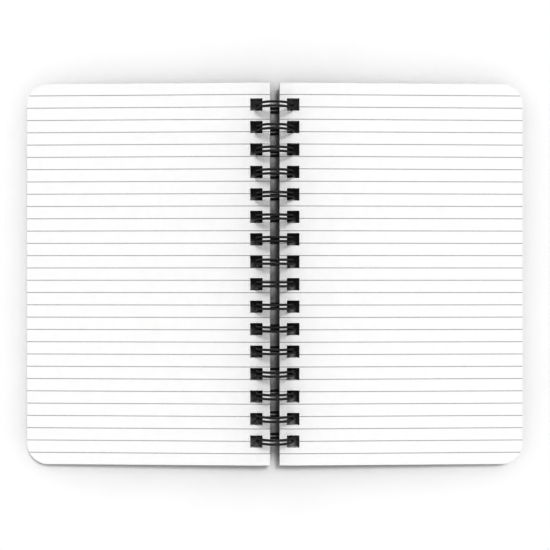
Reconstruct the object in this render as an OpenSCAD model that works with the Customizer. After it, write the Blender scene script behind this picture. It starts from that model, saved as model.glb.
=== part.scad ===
// Twin-loop wire bound pocket notebook, lying open at its middle.
// X runs across the open spread, Y up the page, Z up from the surface that it lies on.
// The origin is on that surface, under the middle of the spine.

/* [Leaves] */
// Height of a leaf, along the spine
leaf_h = 144.2; // [140:0.1:215]
// Width of a leaf, from its punched edge to its outer edge
leaf_w = 92.3; // [70:0.1:150]
// Radius of the two outer corners
corner_r = 8; // [2:0.5:15]
// Thickness of one leaf
leaf_t = 0.12; // [0.08:0.01:0.14]
// Air between one leaf and the next
leaf_gap = 0.02; // [0.01:0.005:0.03]
// Leaves on each side of the open spread
leaves_per_side = 25; // [4:1:28]

/* [Covers] */
// Thickness of a cover
cover_t = 0.5; // [0.3:0.05:0.6]
// Distance of the crease from the middle of the spine
crease_x = 14; // [11:0.5:25]
// Width of the crease, pressed into the outer face
crease_w = 0.8; // [0.4:0.1:1.5]
// Depth of the crease
crease_depth = 0.15; // [0.05:0.05:0.25]

/* [Punching] */
// Number of holes, and of wire loops
loops = 16; // [6:1:16]
// Distance from one hole to the next, three to the inch
hole_pitch = 8.466; // [8.4:0.002:8.5]
// Side of a square hole
hole_side = 4.6; // [4:0.1:4.7]
// Paper left between a hole and the punched edge
hole_margin = 2.8; // [2.5:0.1:3]
// Distance between the punched edges of the two halves
spine_gap = 3.76; // [3:0.01:4]
// How far the row of holes sits above the middle of the leaf
hole_row_shift = 0.4; // [0:0.1:1]

/* [Wire] */
// Diameter of the wire
wire_d = 0.8; // [0.6:0.05:0.9]
// Radius of a loop, to the middle of the wire
loop_r = 6.9; // [6.6:0.05:7.1]
// Distance from one loop to the next, a little less than from hole to hole
loop_pitch = 8.34; // [8.3:0.01:8.4]
// Distance between the two wires of one loop
pair_gap = 1.5; // [1.3:0.05:1.8]
// Radius of the bends that lead from one loop to the next
link_r = 1; // [0.8:0.1:1.2]
// Length of the cut ends of the wire
stub_l = 0.8; // [0.4:0.1:1.5]

/* [Hidden] */
half_w = spine_gap / 2 + leaf_w;              // spine to outer edge
leaf_step = leaf_t + leaf_gap;                // one leaf to the next
stack_t = leaves_per_side * leaf_step + cover_t;
axis_z = loop_r + wire_d / 2;                 // the loops stand on the surface
// Each half leans down from the loops until its cover's outer edge meets the surface
lean = asin(axis_z / norm([half_w, stack_t])) - atan2(stack_t, half_w);
hole_x = spine_gap / 2 + hole_margin;         // spine to a hole's near side
hole_y0 = hole_row_shift - (loops - 1) / 2 * hole_pitch;
loop_y0 = hole_row_shift - (loops - 1) / 2 * loop_pitch;
// A loop's closed end stops short of the links, at an angle whose cosine and sine are exact
seam_cos = -0.28;
seam_sin = -0.96;
seam_reach = 2 * loop_r;                      // beyond the wire, where the seam's cutter ends
// The links lie under the right half, turned round from the lowest point by an angle that is exact too
turn_cos = 0.8;
turn_sin = 0.6;
cut = 1;                                      // how far a cutter stands out of what it cuts
$fn = 48;

left_leaves = [for (i = [1 : leaves_per_side]) str("left_leaf_", i)];
right_leaves = [for (i = [1 : leaves_per_side]) str("right_leaf_", i)];

// A sheet's outline, with its spine edge on the left and round outer corners
module sheet_outline() {
  translate([spine_gap / 2, -leaf_h / 2]) square([leaf_w - corner_r, leaf_h]);
  translate([spine_gap / 2, corner_r - leaf_h / 2]) square([leaf_w, leaf_h - 2 * corner_r]);
  for (side = [-1, 1])
    translate([half_w - corner_r, side * (leaf_h / 2 - corner_r)]) circle(corner_r);
}

module hole_row() {
  for (i = [0 : loops - 1])
    translate([hole_x, hole_y0 + i * hole_pitch - hole_side / 2]) square(hole_side);
}

// A punched sheet of thickness t whose upper face lies at height z
module punched_sheet(t, z) {
  translate([0, 0, z - t]) linear_extrude(t) difference() {
    sheet_outline();
    hole_row();
  }
}

// Puts what is drawn level on the right, about the loops' axis, where that half lies
module right_half() {
  translate([0, 0, axis_z]) rotate([0, lean, 0]) children();
}

module left_half() {
  mirror([1, 0, 0]) right_half() children();
}

// Leaf i, where leaf 1 is the page on show and the others lie under it
module leaf(i) {
  color("white") punched_sheet(leaf_t, -(i - 1) * leaf_step);
}

// A cover under its leaves, with the crease in its outer face
module cover() {
  color("dimgray") difference() {
    punched_sheet(cover_t, -leaves_per_side * leaf_step);
    translate([crease_x - crease_w / 2, -leaf_h / 2 - cut, -stack_t - cut])
      cube([crease_w, leaf_h + 2 * cut, crease_depth + cut]);
  }
}

// An arc of wire in the XY plane, centred on the origin
module wire_arc(r, from, sweep) {
  rotate([0, 0, from]) rotate_extrude(angle = sweep) translate([r, 0]) circle(d = wire_d);
}

// Turns the XY plane so that its angles run from +X up to +Z, round the loops' axis
module about_spine() {
  rotate([90, 0, 0]) children();
}

// A ring of wire, cut away between the links and the loop's closed end
module open_ring() {
  difference() {
    rotate_extrude() translate([loop_r, 0]) circle(d = wire_d);
    linear_extrude(2 * cut, center = true)
      polygon([[0, 0], [0, -seam_reach], [seam_cos * seam_reach, seam_sin * seam_reach]]);
  }
}

// Turns what is drawn at angle 0 to the angle of the loop's closed end
module at_seam() {
  multmatrix([[seam_cos, -seam_sin, 0, 0], [seam_sin, seam_cos, 0, 0], [0, 0, 1, 0]]) children();
}

// One loop: two wires side by side, from the links at the bottom round to their closed end
module loop() {
  for (side = [-1, 1])
    translate([0, side * pair_gap / 2, 0]) about_spine() open_ring();
  about_spine() at_seam() translate([loop_r, 0, 0]) rotate([0, 90, 0])
    wire_arc(pair_gap / 2, 0, 180);
}

// A quarter bend at the bottom that leads a wire at y into the link on its given side
module link_bend(y, side) {
  translate([0, y + side * link_r, -loop_r]) wire_arc(link_r, side > 0 ? 180 : 90, 90);
}

// The straight part of a link, from y upwards
module link_bar(y, l) {
  translate([-link_r, y, -loop_r]) rotate([-90, 0, 0]) cylinder(h = l, d = wire_d);
}

// Turns the wire round its axis, from links at the bottom to where they lie
module turned() {
  multmatrix([[turn_cos, 0, -turn_sin, 0], [0, 1, 0, 0], [turn_sin, 0, turn_cos, 0]]) children();
}

module twin_loop_wire() {
  bar_l = loop_pitch - pair_gap - 2 * link_r;
  last_y = loop_y0 + (loops - 1) * loop_pitch + pair_gap / 2;
  color([0.1, 0.1, 0.11]) translate([0, 0, axis_z]) turned() {
    for (i = [0 : loops - 1])
      translate([0, loop_y0 + i * loop_pitch, 0]) loop();
    for (i = [0 : loops - 2])
      translate([0, loop_y0 + i * loop_pitch + pair_gap / 2, 0]) {
        link_bend(0, 1);
        link_bar(link_r, bar_l);
        link_bend(loop_pitch - pair_gap, -1);
      }
    link_bend(loop_y0 - pair_gap / 2, -1);
    link_bar(loop_y0 - pair_gap / 2 - link_r - stub_l, stub_l);
    link_bend(last_y, 1);
    link_bar(last_y + link_r, stub_l);
  }
}

twin_loop_wire();
left_half() cover();  // front_cover
right_half() cover();  // back_cover
for (i = [1 : leaves_per_side]) {
  left_half() leaf(i);
  right_half() leaf(i);
}
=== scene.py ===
"""Looks of a pocket notebook with a twin-loop wire binding, lying open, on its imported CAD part."""

import math
import random

import bpy
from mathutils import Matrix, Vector


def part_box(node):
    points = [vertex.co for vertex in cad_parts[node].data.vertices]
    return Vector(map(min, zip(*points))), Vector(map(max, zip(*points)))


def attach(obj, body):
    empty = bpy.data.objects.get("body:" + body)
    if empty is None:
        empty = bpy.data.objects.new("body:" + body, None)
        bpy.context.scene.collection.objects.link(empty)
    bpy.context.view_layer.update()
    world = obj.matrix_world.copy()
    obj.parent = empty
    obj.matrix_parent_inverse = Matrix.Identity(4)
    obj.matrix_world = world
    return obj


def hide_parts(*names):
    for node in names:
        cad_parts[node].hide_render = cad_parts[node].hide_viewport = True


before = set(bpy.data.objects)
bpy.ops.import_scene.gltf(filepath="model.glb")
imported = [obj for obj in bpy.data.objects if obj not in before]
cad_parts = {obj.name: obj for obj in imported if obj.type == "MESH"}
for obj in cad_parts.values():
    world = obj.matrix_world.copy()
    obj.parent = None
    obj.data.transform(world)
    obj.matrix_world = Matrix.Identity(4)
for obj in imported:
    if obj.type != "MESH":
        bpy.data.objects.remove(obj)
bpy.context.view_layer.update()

# ---- Sizes, in metres. Drawn level: x from the spine outwards, y up the page, z up from the loops' axis
SPINE_EDGE = 0.00188         # spine to the punched edge of a sheet
LEAF_W = 0.0923              # punched edge to outer edge
CORNER_R = 0.008             # outer corners
HOLE_X = 0.00468             # spine to the near side of the square holes
HOLE_SIDE = 0.0046
LOOPS = 16
HOLE_PITCH = 0.008466        # one hole to the next, three to the inch
LOOP_PITCH = 0.00834         # one loop to the next, a little less
ROW_SHIFT = 0.0004           # both rows above the middle of the page
LEAF_T = 0.00012
COVER_T = 0.0005
CREASE_X = 0.014             # crease in the covers' outer faces
CREASE_W = 0.0008
CREASE_DEPTH = 0.00015
WIRE_D = 0.0008
LOOP_R = 0.0069              # to the middle of the wire
PAIR_GAP = 0.0015            # between the two wires of a loop
LINK_R = 0.001               # bends from one loop into the next
STUB_L = 0.0008              # cut ends of the wire
SEAM = math.atan2(-0.96, -0.28) + 2 * math.pi   # angle from a loop's links, at -90, round to its closed end
TURN = math.atan2(0.6, 0.8)  # how far round from the bottom the links lie, under the right half
RULE_PITCH = 0.004667        # one ruled line to the next
RULE_W = 0.00028             # width of a ruled line
DROOP = 0.0005               # how far the sheets' punched edges hang, and over what width
DROOP_W = 0.005
DRIFT = 0.0001               # most that one leaf lies off another
SOFT_EDGE = 0.00009          # rounding of the covers' edges
FLOOR_REACH = 3.0            # half the width of the floor

# ---- How finely the pieces are divided
HOLE_PARTS = 3               # columns across a hole
FLAT_X = (0.019, 0.03, 0.048, 0.067)   # columns across the flat part of a sheet
PAST_HOLES_X = 0.0105        # column between the holes and the crease
CORNER_STEPS = 12
LOOP_STEPS = 64
TIP_STEPS = 10
BEND_STEPS = 6
WIRE_SIDES = 12
SEED = 11                    # of the leaves' small shifts

# ---- Colours
PAPER_DULL = (0.742, 0.742, 0.740, 1)
PAPER_BRIGHT = (0.755, 0.755, 0.755, 1)
PAPER_FIBRE = (0.768, 0.768, 0.770, 1)
INK = (0.41, 0.41, 0.416, 1)
# painted shade: greyer cut edges of the sheets, standing in for the shade between the leaves and down the
# holes
CUT_SHADE_DULL = (0.51, 0.51, 0.505, 1)
CUT_SHADE_BRIGHT = (0.62, 0.62, 0.615, 1)
WIRE_DULL = (0.054, 0.054, 0.055, 1)
WIRE_BRIGHT = (0.070, 0.070, 0.071, 1)
CARD_DULL = (0.050, 0.051, 0.055, 1)
CARD_BRIGHT = (0.068, 0.069, 0.073, 1)
CARD_FIBRE = (0.145, 0.145, 0.150, 1)
CARD_RUBBED = (0.22, 0.22, 0.225, 1)
TABLE_DULL = (0.768, 0.768, 0.768, 1)
TABLE_BRIGHT = (0.778, 0.778, 0.778, 1)

# ---- Places, from the CAD
wire_low, wire_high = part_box("twin_loop_wire")
AXIS_Z = (wire_low.z + wire_high.z) / 2
page_low, page_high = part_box("right_leaf_1")
HALF_H = page_high.y
HALF_W = SPINE_EDGE + LEAF_W
LEAN = math.asin((page_high.z - page_low.z - LEAF_T) / LEAF_W)
FIRST_HOLE = ROW_SHIFT - (LOOPS - 1) / 2 * HOLE_PITCH
FIRST_LOOP = ROW_SHIFT - (LOOPS - 1) / 2 * LOOP_PITCH


def place(side, x, y, z):
    """The point drawn level at x, y, z, where that half of the open book lies."""
    along = x * math.cos(LEAN) + z * math.sin(LEAN)
    return Vector((side * along, y, AXIS_Z - x * math.sin(LEAN) + z * math.cos(LEAN)))


def level_top(node):
    """The height of a sheet's upper face, as drawn level."""
    return (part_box(node)[1].z - AXIS_Z + SPINE_EDGE * math.sin(LEAN)) / math.cos(LEAN)


def droop(x):
    """How far every sheet hangs towards its punched edge."""
    near = max(0.0, 1 - (x - SPINE_EDGE) / DROOP_W)
    return DROOP * near * near


# ---- Materials
def new_material(name):
    """A material with its shader and a place to read the object's coordinates from."""
    mat = bpy.data.materials.new(name)
    mat.use_nodes = True
    nodes = mat.node_tree.nodes
    shader = nodes["Principled BSDF"]
    coords = nodes.new("ShaderNodeTexCoord").outputs["Object"]
    return mat, nodes, mat.node_tree.links, shader, coords


def math_node(nodes, links, operation, first, second=None, clamp=False):
    """The result of one math node, whose inputs are sockets or plain numbers."""
    node = nodes.new("ShaderNodeMath")
    node.operation = operation
    node.use_clamp = clamp
    for socket, value in zip(node.inputs, (first, second)):
        if isinstance(value, bpy.types.NodeSocket):
            links.new(value, socket)
        elif value is not None:
            socket.default_value = value
    return node.outputs[0]


def noise(nodes, links, coords, scale, detail=3.0, rough=0.55, stretch=None):
    """Noise of the given scale per metre, drawn out by the stretch factors where they are given."""
    node = nodes.new("ShaderNodeTexNoise")
    node.inputs["Scale"].default_value = scale
    node.inputs["Detail"].default_value = detail
    node.inputs["Roughness"].default_value = rough
    if stretch is None:
        links.new(coords, node.inputs["Vector"])
    else:
        mapping = nodes.new("ShaderNodeMapping")
        mapping.inputs["Scale"].default_value = stretch
        links.new(coords, mapping.inputs["Vector"])
        links.new(mapping.outputs[0], node.inputs["Vector"])
    return node.outputs[0]


def spread(nodes, links, value, low, high, to_low, to_high):
    """Maps value from low..high to to_low..to_high, held at the ends."""
    node = nodes.new("ShaderNodeMapRange")
    node.inputs["From Min"].default_value = low
    node.inputs["From Max"].default_value = high
    node.inputs["To Min"].default_value = to_low
    node.inputs["To Max"].default_value = to_high
    links.new(value, node.inputs["Value"])
    return node.outputs[0]


def blend(nodes, links, factor, first, second):
    """Mixes two colours, which are sockets or plain tuples."""
    node = nodes.new("ShaderNodeMix")
    node.data_type = "RGBA"
    for socket, value in ((node.inputs[0], factor), (node.inputs[6], first), (node.inputs[7], second)):
        if isinstance(value, bpy.types.NodeSocket):
            links.new(value, socket)
        else:
            socket.default_value = value
    return node.outputs[2]


def bump(nodes, links, height, distance, strength=1.0):
    """A bump from height, of the given depth in metres."""
    node = nodes.new("ShaderNodeBump")
    node.inputs["Distance"].default_value = distance
    node.inputs["Strength"].default_value = strength
    links.new(height, node.inputs["Height"])
    return node.outputs[0]


def ruled_paper():
    """White uncoated paper with thin grey lines across it on both faces, a little uneven as printed."""
    mat, nodes, links, shader, coords = new_material("ruled_paper")
    axes = nodes.new("ShaderNodeSeparateXYZ")
    links.new(coords, axes.inputs[0])
    # distance from the nearest line: the lines lie half a pitch either side of the page's middle
    turns = math_node(nodes, links, "DIVIDE", axes.outputs[1], RULE_PITCH)
    part = math_node(nodes, links, "FRACT", turns)
    off = math_node(nodes, links, "ABSOLUTE", math_node(nodes, links, "SUBTRACT", part, 0.5))
    feather = noise(nodes, links, coords, 5200, 2.0)
    wander = math_node(nodes, links, "MULTIPLY", math_node(nodes, links, "SUBTRACT", feather, 0.5), 0.018)
    off = math_node(nodes, links, "ADD", off, wander)
    half = RULE_W / RULE_PITCH / 2
    ink = spread(nodes, links, off, half * 0.7, half * 1.3, 1.0, 0.0)
    patchy = spread(nodes, links, noise(nodes, links, coords, 900, 3.0), 0.3, 0.7, 0.82, 1.0)
    ink = math_node(nodes, links, "MULTIPLY", ink, patchy, clamp=True)
    # fibres show as faint clouds and short strokes
    cloud = spread(nodes, links, noise(nodes, links, coords, 260, 4.0), 0.3, 0.7, 0.0, 1.0)
    strokes = noise(nodes, links, coords, 1500, 4.0, 0.6, (1.0, 2.6, 1.0))
    fibre = spread(nodes, links, strokes, 0.35, 0.65, 0.0, 1.0)
    white = blend(nodes, links, cloud, PAPER_DULL, PAPER_BRIGHT)
    faint = math_node(nodes, links, "MULTIPLY", fibre, 0.25)
    white = blend(nodes, links, faint, white, PAPER_FIBRE)
    faces = blend(nodes, links, ink, white, INK)
    # painted shade: the cut edges, round the sheets and down the holes, are greyer than the faces, standing
    # in for the shade between the leaves; the streaks across them are the paper's fibres
    cut = nodes.new("ShaderNodeSeparateXYZ")
    links.new(nodes["Texture Coordinate"].outputs["Normal"], cut.inputs[0])
    facing = math_node(nodes, links, "ABSOLUTE", cut.outputs[2])
    facing = spread(nodes, links, facing, 0.4, 0.8, 0.0, 1.0)
    edge = blend(nodes, links, fibre, CUT_SHADE_DULL, CUT_SHADE_BRIGHT)
    links.new(blend(nodes, links, facing, edge, faces), shader.inputs["Base Color"])
    links.new(spread(nodes, links, strokes, 0.3, 0.7, 0.82, 0.95), shader.inputs["Roughness"])
    shader.inputs["Specular IOR Level"].default_value = 0.25
    grain = math_node(nodes, links, "ADD", strokes, noise(nodes, links, coords, 6500, 2.0))
    links.new(bump(nodes, links, grain, 0.000012, 0.6), shader.inputs["Normal"])
    return mat


def coated_wire():
    """Black nylon-coated steel: satin, with the fine unevenness of the coating."""
    mat, nodes, links, shader, coords = new_material("wire")
    mottle = spread(nodes, links, noise(nodes, links, coords, 700, 3.0), 0.3, 0.7, 0.0, 1.0)
    black = blend(nodes, links, mottle, WIRE_DULL, WIRE_BRIGHT)
    links.new(black, shader.inputs["Base Color"])
    links.new(spread(nodes, links, mottle, 0.0, 1.0, 0.36, 0.52), shader.inputs["Roughness"])
    shader.inputs["Specular IOR Level"].default_value = 0.5
    skin = noise(nodes, links, coords, 3800, 3.0)
    links.new(bump(nodes, links, skin, 0.00001, 0.5), shader.inputs["Normal"])
    return mat


def cover_card():
    """Dark dyed card: long pale fibres pressed into it, a fine tooth, and rubbed edges."""
    mat, nodes, links, shader, coords = new_material("cover_card")
    cloud = spread(nodes, links, noise(nodes, links, coords, 180, 5.0), 0.3, 0.7, 0.0, 1.0)
    fibres = noise(nodes, links, coords, 1100, 5.0, 0.65, (1.0, 3.2, 1.0))
    fleck = spread(nodes, links, fibres, 0.60, 0.72, 0.0, 0.6)
    base = blend(nodes, links, cloud, CARD_DULL, CARD_BRIGHT)
    base = blend(nodes, links, fleck, base, CARD_FIBRE)
    # rubbed paler within half a millimetre of the outer edge, broken up by noise
    axes = nodes.new("ShaderNodeSeparateXYZ")
    links.new(coords, axes.inputs[0])
    reach = math_node(nodes, links, "ABSOLUTE", axes.outputs[0])
    to_side = math_node(nodes, links, "SUBTRACT", HALF_W * math.cos(LEAN), reach)
    to_end = math_node(nodes, links, "SUBTRACT", HALF_H, math_node(nodes, links, "ABSOLUTE", axes.outputs[1]))
    edge = math_node(nodes, links, "MINIMUM", to_side, to_end)
    rough_edge = math_node(nodes, links, "MULTIPLY", noise(nodes, links, coords, 420, 4.0), 0.0011)
    inside = math_node(nodes, links, "SUBTRACT", edge, rough_edge)
    worn = spread(nodes, links, inside, -0.0003, 0.0001, 0.5, 0.0)
    links.new(blend(nodes, links, worn, base, CARD_RUBBED), shader.inputs["Base Color"])
    links.new(spread(nodes, links, fibres, 0.3, 0.7, 0.66, 0.86), shader.inputs["Roughness"])
    shader.inputs["Specular IOR Level"].default_value = 0.35
    tooth = math_node(nodes, links, "ADD", fibres, noise(nodes, links, coords, 4200, 2.0))
    links.new(bump(nodes, links, tooth, 0.00003, 0.7), shader.inputs["Normal"])
    return mat


# ---- Sheets
def columns(extra):
    """Pairs of x and half height across a sheet: the hole row, the flat part, the round corners."""
    start = HALF_W - CORNER_R
    inner = [SPINE_EDGE, (SPINE_EDGE + HOLE_X) / 2]
    inner += [HOLE_X + HOLE_SIDE * part / HOLE_PARTS for part in range(HOLE_PARTS + 1)]
    inner += [PAST_HOLES_X, *extra, *FLAT_X]
    found = [(x, HALF_H) for x in inner]
    for step in range(CORNER_STEPS + 1):
        turn = math.pi / 2 * step / CORNER_STEPS
        found.append((start + CORNER_R * math.sin(turn), HALF_H - CORNER_R + CORNER_R * math.cos(turn)))
    return found


def rows():
    """Heights of the lines across a sheet: its two ends and both edges of every hole."""
    found = [-HALF_H]
    for loop in range(LOOPS):
        middle = FIRST_HOLE + loop * HOLE_PITCH
        found += [middle - HOLE_SIDE / 2, middle + HOLE_SIDE / 2]
    return found + [HALF_H]


def sheet(node, thickness, material, crease=False, shift=(0.0, 0.0)):
    """A punched sheet in place of its CAD node, with walls round its outline and its holes."""
    side = 1 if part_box(node)[1].x > HALF_W / 2 else -1
    top = level_top(node)
    near, far = CREASE_X - CREASE_W / 2, CREASE_X + CREASE_W / 2
    lip = CREASE_W / 4
    across = columns([near, near + lip, far - lip, far] if crease else [CREASE_X])
    up = rows()
    kept = set()
    for c in range(len(across) - 1):
        in_hole = across[c][0] > HOLE_X - 1e-6 and across[c + 1][0] < HOLE_X + HOLE_SIDE + 1e-6
        kept |= {(c, r) for r in range(len(up) - 1) if not (in_hole and r % 2 == 1)}
    points, index, faces = [], {}, []

    def corner(c, r, lower):
        """The number of the grid's corner c, r, on the upper or the lower face."""
        if (c, r, lower) not in index:
            x, reach = across[c]
            z = top - droop(x) - (thickness if lower else 0.0)
            if lower and crease and near < x < far:
                z += CREASE_DEPTH
            index[c, r, lower] = len(points)
            points.append(place(side, x + shift[0], up[r] * reach / HALF_H + shift[1], z))
        return index[c, r, lower]

    def face(*corners):
        """One face, turned the other way round on the mirrored half."""
        faces.append(corners if side > 0 else corners[::-1])

    for c, r in kept:
        ring = [(c, r), (c + 1, r), (c + 1, r + 1), (c, r + 1)]
        face(*[corner(a, b, False) for a, b in ring])
        face(*[corner(a, b, True) for a, b in reversed(ring)])
        beyond = [(c, r - 1), (c + 1, r), (c, r + 1), (c - 1, r)]
        for step, cell in enumerate(beyond):
            if cell not in kept:
                a, b = ring[step], ring[(step + 1) % 4]
                face(corner(*a, True), corner(*b, True), corner(*b, False), corner(*a, False))
    mesh = bpy.data.meshes.new(node + "_look")
    mesh.from_pydata(points, [], faces)
    mesh.shade_smooth()
    mesh.set_sharp_from_angle(angle=math.radians(40))
    mesh.materials.append(material)
    piece = bpy.data.objects.new(node + "_look", mesh)
    bpy.context.scene.collection.objects.link(piece)
    if crease:
        soften = piece.modifiers.new("soft_edges", "BEVEL")
        soften.width = SOFT_EDGE
        soften.segments = 2
        soften.limit_method = "ANGLE"
        soften.angle_limit = math.radians(50)
    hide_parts(node)
    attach(piece, node)
    return piece


# ---- Wire
def arc(centre, first, second, radius, start, end, steps):
    """Points round an arc from angle start to end, where first and second are the axes of angles 0 and 90."""
    turns = [start + (end - start) * step / steps for step in range(steps + 1)]
    return [centre + (first * math.cos(t) + second * math.sin(t)) * radius for t in turns]


def wire_line():
    """The middle line of the whole wire, from one cut end to the other."""
    across, along = Vector((math.cos(TURN), 0, math.sin(TURN))), Vector((0, 1, 0))
    up = Vector((-math.sin(TURN), 0, math.cos(TURN)))
    axis = Vector((0, 0, AXIS_Z))
    base = axis - up * LOOP_R
    low = FIRST_LOOP - PAIR_GAP / 2
    line = [base - across * LINK_R + along * (low - LINK_R - STUB_L)]
    quarter = math.pi / 2
    for loop in range(LOOPS):
        middle = FIRST_LOOP + loop * LOOP_PITCH
        low, high = middle - PAIR_GAP / 2, middle + PAIR_GAP / 2
        # out of the link, round under the right half and over to the closed end, and back beside itself
        line += arc(base + along * (low - LINK_R), across, along, LINK_R, 2 * quarter, quarter, BEND_STEPS)
        line += arc(axis + along * low, across, up, LOOP_R, -quarter, SEAM, LOOP_STEPS)[1:]
        seam_out = across * math.cos(SEAM) + up * math.sin(SEAM)
        seam_on = up * math.cos(SEAM) - across * math.sin(SEAM)
        tip = axis + along * middle + seam_out * LOOP_R
        line += arc(tip, along, seam_on, PAIR_GAP / 2, 2 * quarter, 0, TIP_STEPS)[1:]
        line += arc(axis + along * high, across, up, LOOP_R, SEAM, -quarter, LOOP_STEPS)[1:]
        bend = arc(base + along * (high + LINK_R), across, along, LINK_R, -quarter, -2 * quarter, BEND_STEPS)
        line += bend[1:]
    return line + [line[-1] + along * STUB_L]


def tube(name, line, radius, sides, material):
    """A round wire swept along the line, its cut ends rounded off a little."""
    # how far in from an end, and the size there as a share of the radius
    ends = [(0.0, 0.72), (radius * 0.18, 0.93), (radius * 0.45, 1.0)]
    tangents = []
    for k in range(len(line)):
        before, after = line[max(k - 1, 0)], line[min(k + 1, len(line) - 1)]
        tangents.append((after - before).normalized())
    rings = []
    normal = tangents[0].orthogonal().normalized()
    for k, (centre, tangent) in enumerate(zip(line, tangents)):
        normal = (normal - tangent * normal.dot(tangent)).normalized()
        rings.append((centre, tangent, normal.copy(), radius))
    first, last = rings[0], rings[-1]
    head = [(first[0] + first[1] * ahead, first[1], first[2], radius * size) for ahead, size in ends]
    tail = [(last[0] - last[1] * ahead, last[1], last[2], radius * size) for ahead, size in ends]
    rings = head + rings[1:-1] + tail[::-1]
    points, faces = [], []
    for centre, tangent, normal, size in rings:
        other = tangent.cross(normal)
        for k in range(sides):
            turn = 2 * math.pi * k / sides
            points.append(centre + (normal * math.cos(turn) + other * math.sin(turn)) * size)
    for ring in range(len(rings) - 1):
        for k in range(sides):
            a, b = ring * sides + k, ring * sides + (k + 1) % sides
            faces.append((a, b, b + sides, a + sides))
    faces.append(tuple(range(sides - 1, -1, -1)))
    faces.append(tuple(range(len(points) - sides, len(points))))
    mesh = bpy.data.meshes.new(name)
    mesh.from_pydata(points, [], faces)
    mesh.shade_smooth()
    mesh.set_sharp_from_angle(angle=math.radians(50))
    mesh.materials.append(material)
    piece = bpy.data.objects.new(name, mesh)
    bpy.context.scene.collection.objects.link(piece)
    return piece


# ---- The notebook
paper = ruled_paper()
card = cover_card()
chance = random.Random(SEED)
for node in sorted(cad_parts):
    if "_leaf_" in node:
        on_show = node.endswith("_leaf_1")
        shift = (0.0, 0.0) if on_show else (chance.uniform(-DRIFT, 0), chance.uniform(-DRIFT, DRIFT))
        sheet(node, LEAF_T, paper, shift=shift)
    elif node.endswith("_cover"):
        sheet(node, COVER_T, card, crease=True)
binding = tube("twin_loop_wire_look", wire_line(), WIRE_D / 2, WIRE_SIDES, coated_wire())
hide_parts("twin_loop_wire")
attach(binding, "twin_loop_wire")

# ---- Floor, light and camera
floor_mesh = bpy.data.meshes.new("floor")
floor_points = [(x * FLOOR_REACH, y * FLOOR_REACH, 0) for x, y in ((-1, -1), (1, -1), (1, 1), (-1, 1))]
floor_mesh.from_pydata(floor_points, [], [(0, 1, 2, 3)])
floor_mat, floor_nodes, floor_links, floor_shader, floor_coords = new_material("white_table")
tone = spread(floor_nodes, floor_links, noise(floor_nodes, floor_links, floor_coords, 30), 0.3, 0.7, 0.0, 1.0)
table_white = blend(floor_nodes, floor_links, tone, TABLE_DULL, TABLE_BRIGHT)
floor_links.new(table_white, floor_shader.inputs["Base Color"])
floor_shader.inputs["Roughness"].default_value = 0.9
floor_shader.inputs["Specular IOR Level"].default_value = 0.2
floor_mesh.materials.append(floor_mat)
floor = bpy.data.objects.new("floor", floor_mesh)
bpy.context.scene.collection.objects.link(floor)

# A pale studio all round, brighter towards the walls than overhead, and a lamp high on the right
OVERHEAD, WALLS = 0.62, 1.75   # straight up, and how much more at the horizon
world = bpy.data.worlds.new("studio")
world.use_nodes = True
sky_nodes, sky_links = world.node_tree.nodes, world.node_tree.links
around = sky_nodes.new("ShaderNodeTexCoord").outputs["Generated"]
axes = sky_nodes.new("ShaderNodeSeparateXYZ")
sky_links.new(around, axes.inputs[0])
height = math_node(sky_nodes, sky_links, "MAXIMUM", axes.outputs[2], 0.0)
low_down = math_node(sky_nodes, sky_links, "SUBTRACT", 1.0, height)
low_down = math_node(sky_nodes, sky_links, "POWER", low_down, 2.0)
glow = math_node(sky_nodes, sky_links, "MULTIPLY", low_down, WALLS)
glow = math_node(sky_nodes, sky_links, "ADD", glow, OVERHEAD)
sky_links.new(glow, sky_nodes["Background"].inputs["Strength"])
sky_nodes["Background"].inputs["Color"].default_value = (1, 1, 1, 1)
bpy.context.scene.world = world

TO_LIGHT = Vector((0.215, 0.37, 0.904))
LAMPS = (("key_soft", 0.35, 30), ("key_crisp", 1.10, 12))   # name, strength, width in degrees
for name, energy, width in LAMPS:
    lamp = bpy.data.lights.new(name, "SUN")
    lamp.energy = energy
    lamp.angle = math.radians(width)
    lamp_object = bpy.data.objects.new(name, lamp)
    lamp_object.rotation_mode = "QUATERNION"
    lamp_object.rotation_quaternion = TO_LIGHT.to_track_quat("Z", "Y")
    bpy.context.scene.collection.objects.link(lamp_object)

PAGE_Z = 0.0071              # height of the pages beside the spine
CAMERA_HEIGHT = 0.340        # above them
CAMERA_X, CAMERA_Y = 0.0001, -0.00034
VIEW_W = 0.2071              # what the picture takes in, at the pages' height
CONTRAST_GAMMA = 0.5         # under 1, for the strong contrast of a product picture
camera = bpy.data.cameras.new("camera")
camera.sensor_width = 36
camera.lens = 36 * CAMERA_HEIGHT / VIEW_W
camera_object = bpy.data.objects.new("camera", camera)
camera_object.location = (CAMERA_X, CAMERA_Y, PAGE_Z + CAMERA_HEIGHT)
bpy.context.scene.collection.objects.link(camera_object)
bpy.context.scene.camera = camera_object
bpy.context.scene.view_settings.view_transform = "Standard"
bpy.context.scene.view_settings.gamma = CONTRAST_GAMMA
